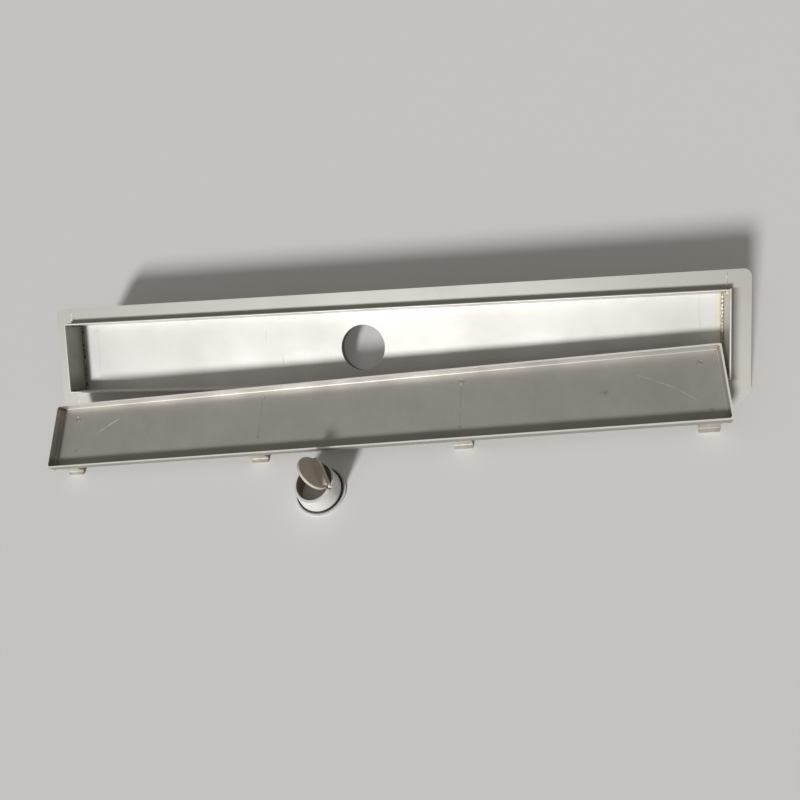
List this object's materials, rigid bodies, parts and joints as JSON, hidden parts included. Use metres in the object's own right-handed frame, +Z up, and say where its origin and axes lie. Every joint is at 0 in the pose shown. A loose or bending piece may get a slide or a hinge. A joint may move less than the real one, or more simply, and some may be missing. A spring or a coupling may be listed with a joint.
{
  "type": "linear shower drain",
  "caption": "Folded steel linear shower drain laid out in its parts: flanged trough with outlet spigot, tray for a tile on bracket feet, and a plug-in flap trap.",
  "frame": {"origin": "on the table, under the middle of the whole laid-out set", "axes": "+X along the channel, +Y from the trap towards the channel's rear flange, +Z up"},
  "size_m": [0.735, 0.2182, 0.0662],
  "materials": {
    "channel_steel": "satin brushed stainless sheet",
    "cover_steel": "satin brushed stainless sheet",
    "weld_metal": "rough weld bead, heat tinted",
    "trap_plastic": "moulded, fine satin",
    "flap_plastic": "moulded, smooth",
    "seal_rubber": "matt black rubber",
    "pin_steel": "drawn rod"
  },
  "bodies": {
    "drain": {"cover_bracket_inner_left": "cover_steel", "cover_bracket_inner_right": "cover_steel", "cover_bracket_outer_left": "cover_steel", "cover_bracket_outer_right": "cover_steel", "cover_corner_welds": "weld_metal", "cover_tray": "cover_steel", "end_cap_left": "channel_steel", "end_cap_right": "channel_steel", "end_weld_left": "weld_metal", "end_weld_right": "weld_metal", "hinge_pin": "pin_steel", "outlet_spigot": "channel_steel", "trap_body": "trap_plastic", "trap_seal": "seal_rubber", "trough": "channel_steel"},
    "flap": {"flap": "flap_plastic"}
  },
  "joints": [
    {"name": "flap_hinge", "type": "hinge", "parent": "drain", "child": "flap", "pos_m": [-0.01679, -0.07575, 0.0274], "axis": [-0.5135, 0.8581, 0], "range_deg": [-67, 0]}
  ]
}
